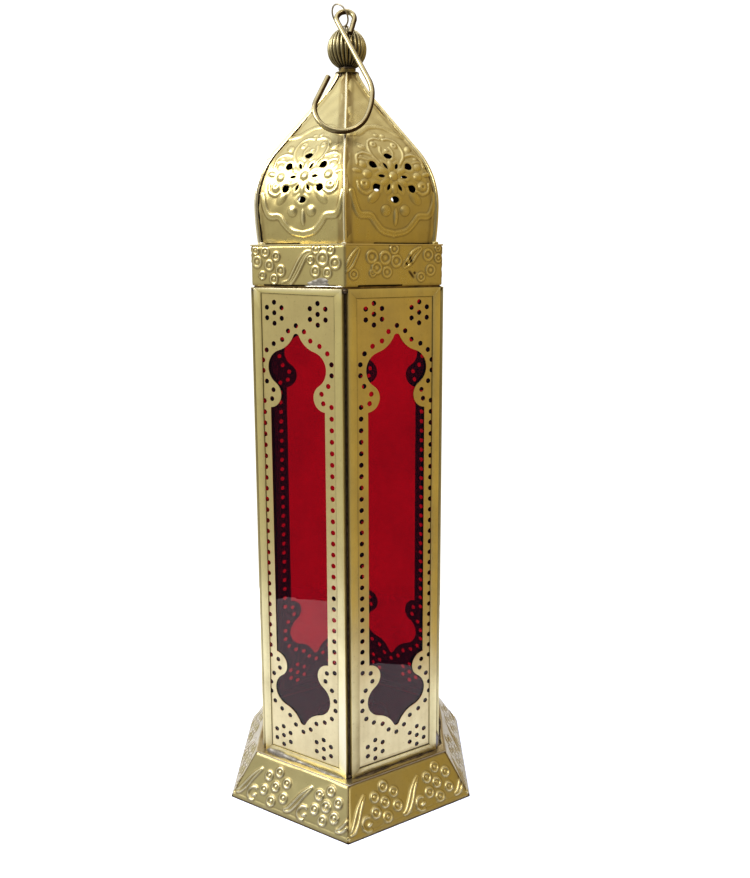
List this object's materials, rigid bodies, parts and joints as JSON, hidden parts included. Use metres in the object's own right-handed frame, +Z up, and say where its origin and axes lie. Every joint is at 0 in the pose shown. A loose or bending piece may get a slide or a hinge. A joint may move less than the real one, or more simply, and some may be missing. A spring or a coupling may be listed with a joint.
{
  "type": "six-sided pierced candle lantern",
  "caption": "Tall six-sided sheet-brass lantern with red glass, pierced window frets, embossed skirt and band, pierced ogee dome, fluted ball and wire hook.",
  "frame": {"origin": "middle of the underside of the foot, on the surface that the lantern stands on", "axes": "+Z up; -Y towards the front corner of the hexagon, which the picture shows; +X to the right in the picture"},
  "size_m": [0.1294, 0.1492, 0.4122],
  "materials": {
    "sheet_brass": "embossed, bright with darker hollows",
    "pale_brass": "bright rolled sheet with fine scratches",
    "old_brass": "dull and darkened, with grey solder",
    "wire_brass": "smooth drawn wire",
    "red_glass": "clear deep red"
  },
  "bodies": {
    "lantern": {"skirt_panel_1": "sheet_brass", "skirt_panel_2": "sheet_brass", "skirt_panel_3": "sheet_brass", "skirt_panel_4": "sheet_brass", "skirt_panel_5": "sheet_brass", "skirt_panel_6": "sheet_brass", "floor_plate": "pale_brass", "candle_cup": "sheet_brass", "window_frame_1": "pale_brass", "window_frame_2": "pale_brass", "window_frame_3": "pale_brass", "window_frame_5": "pale_brass", "window_frame_6": "pale_brass", "fretwork_1": "pale_brass", "fretwork_2": "pale_brass", "fretwork_3": "pale_brass", "fretwork_5": "pale_brass", "fretwork_6": "pale_brass", "red_glass_1": "red_glass", "red_glass_2": "red_glass", "red_glass_3": "red_glass", "red_glass_5": "red_glass", "red_glass_6": "red_glass", "crown_plate": "old_brass", "band_panel_1": "sheet_brass", "band_panel_2": "sheet_brass", "band_panel_3": "sheet_brass", "band_panel_4": "sheet_brass", "band_panel_5": "sheet_brass", "band_panel_6": "sheet_brass", "cap_plate": "pale_brass", "dome_gore_1": "sheet_brass", "dome_gore_2": "sheet_brass", "dome_gore_3": "sheet_brass", "dome_gore_4": "sheet_brass", "dome_gore_5": "sheet_brass", "dome_gore_6": "sheet_brass", "dome_rib_1": "pale_brass", "dome_rib_2": "pale_brass", "dome_rib_3": "pale_brass", "dome_rib_4": "pale_brass", "dome_rib_5": "pale_brass", "dome_rib_6": "pale_brass", "neck_collar": "old_brass", "loop_washer": "old_brass", "fluted_ball": "old_brass", "lifting_loop": "old_brass", "hinge_tubes_fixed": "sheet_brass", "hinge_pins": "old_brass", "button_rivet": "sheet_brass"},
    "door": {"window_frame_4": "pale_brass", "fretwork_4": "pale_brass", "red_glass_4": "red_glass", "hinge_tubes_door": "sheet_brass", "door_knob": "sheet_brass"},
    "latch": {"turn_button": "sheet_brass"},
    "hook": {"hanging_hook": "wire_brass"}
  },
  "joints": [
    {"name": "door_swing", "type": "hinge", "parent": "lantern", "child": "door", "pos_m": [0, 0.05585, 0.1474], "axis": [0, 0, -1], "range_deg": [0, 105]},
    {"name": "latch_turn", "type": "hinge", "parent": "lantern", "child": "latch", "pos_m": [-0.02433, 0.04214, 0.2783], "axis": [0.5, -0.866, 0], "range_deg": [0, 90]},
    {"name": "hook_swing", "type": "hinge", "parent": "lantern", "child": "hook", "pos_m": [-0.0004, -0.0049, 0.4076], "axis": [-1, 0, 0], "range_deg": [0, 110]}
  ]
}
